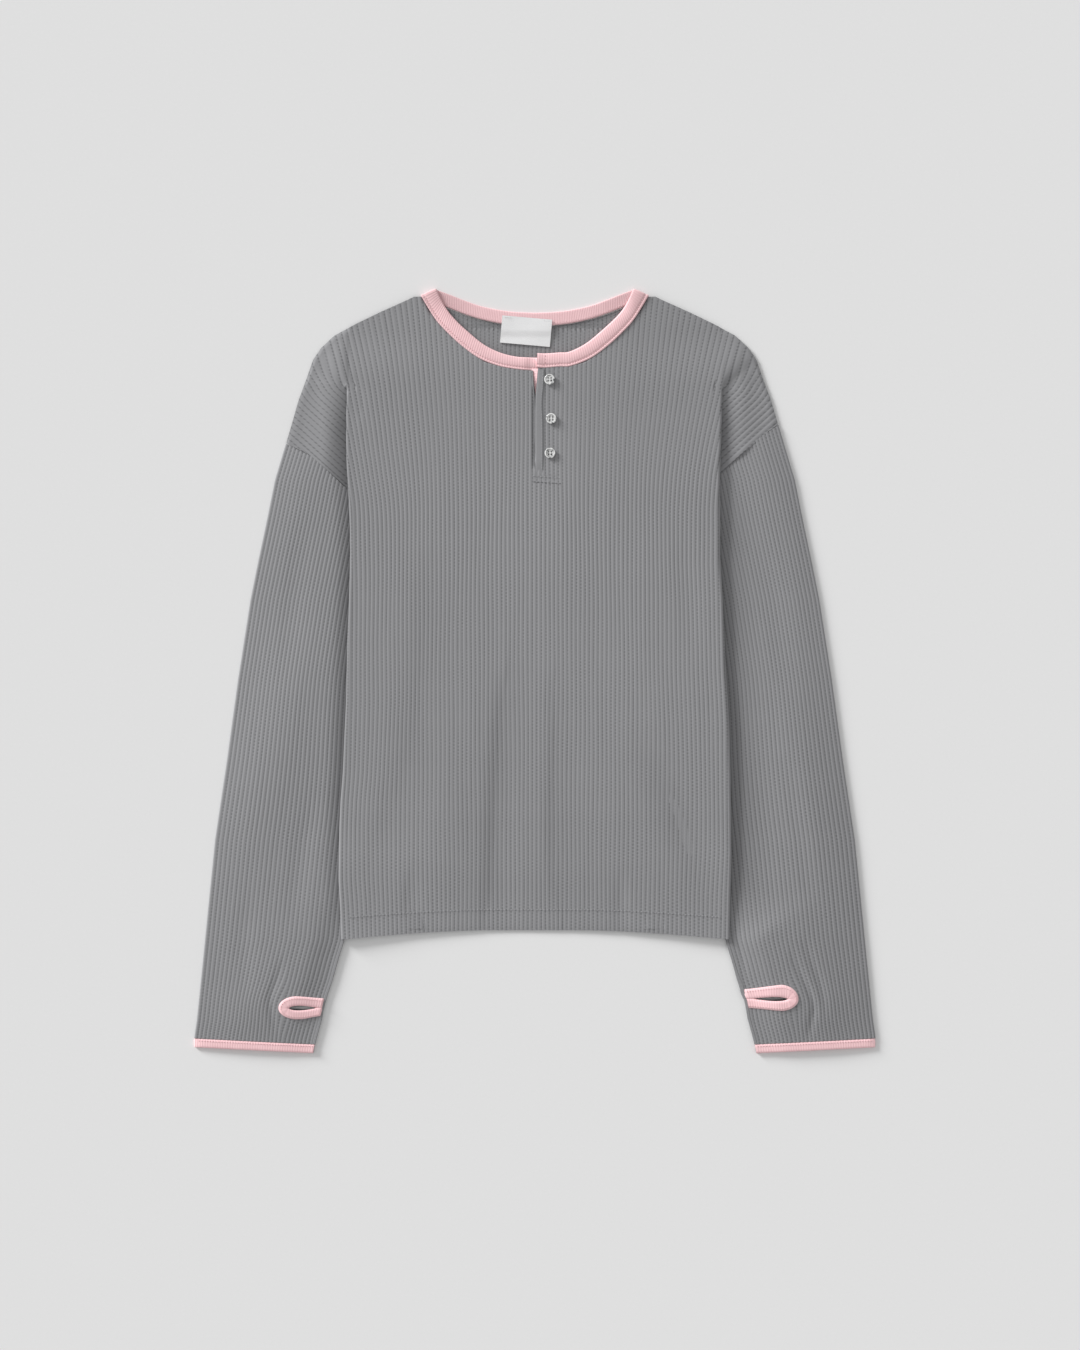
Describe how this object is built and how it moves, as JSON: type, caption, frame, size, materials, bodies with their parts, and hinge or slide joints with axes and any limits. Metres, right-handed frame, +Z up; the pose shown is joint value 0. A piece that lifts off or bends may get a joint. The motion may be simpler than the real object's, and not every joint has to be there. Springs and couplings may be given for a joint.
{
  "type": "henley shirt",
  "caption": "Long-sleeved rib-knit henley laid flat, with a bound scoop neck, short buttoned placket, bound cuffs and thumbholes, body sides turned under and sleeves drawn down beside it",
  "frame": {"origin": "centre of the laid shirt's outline, on the surface that it lies on", "axes": "+X across the shirt, to the right as seen from above; +Y from the hem to the neck; +Z up, out of the front"},
  "size_m": [0.6266, 0.7033, 0.0084],
  "materials": {
    "rib_knit": "matt grey rib knit with a fine ladder texture",
    "placket_jersey": "matt grey jersey",
    "pink_binding": "matt pale pink fine rib",
    "pearl_resin": "glossy pearly grey resin",
    "label_satin": "blank white satin"
  },
  "bodies": {
    "root": {"front": "rib_knit", "back": "rib_knit", "sleeve_left": "rib_knit", "sleeve_right": "rib_knit", "neck_binding": "pink_binding", "placket_band": "placket_jersey", "placket_underlap": "pink_binding", "button_1": "pearl_resin", "button_2": "pearl_resin", "button_3": "pearl_resin", "cuff_binding_left": "pink_binding", "cuff_binding_right": "pink_binding", "thumbhole_binding_left": "pink_binding", "thumbhole_binding_right": "pink_binding", "neck_label": "label_satin"}
  },
  "joints": []
}
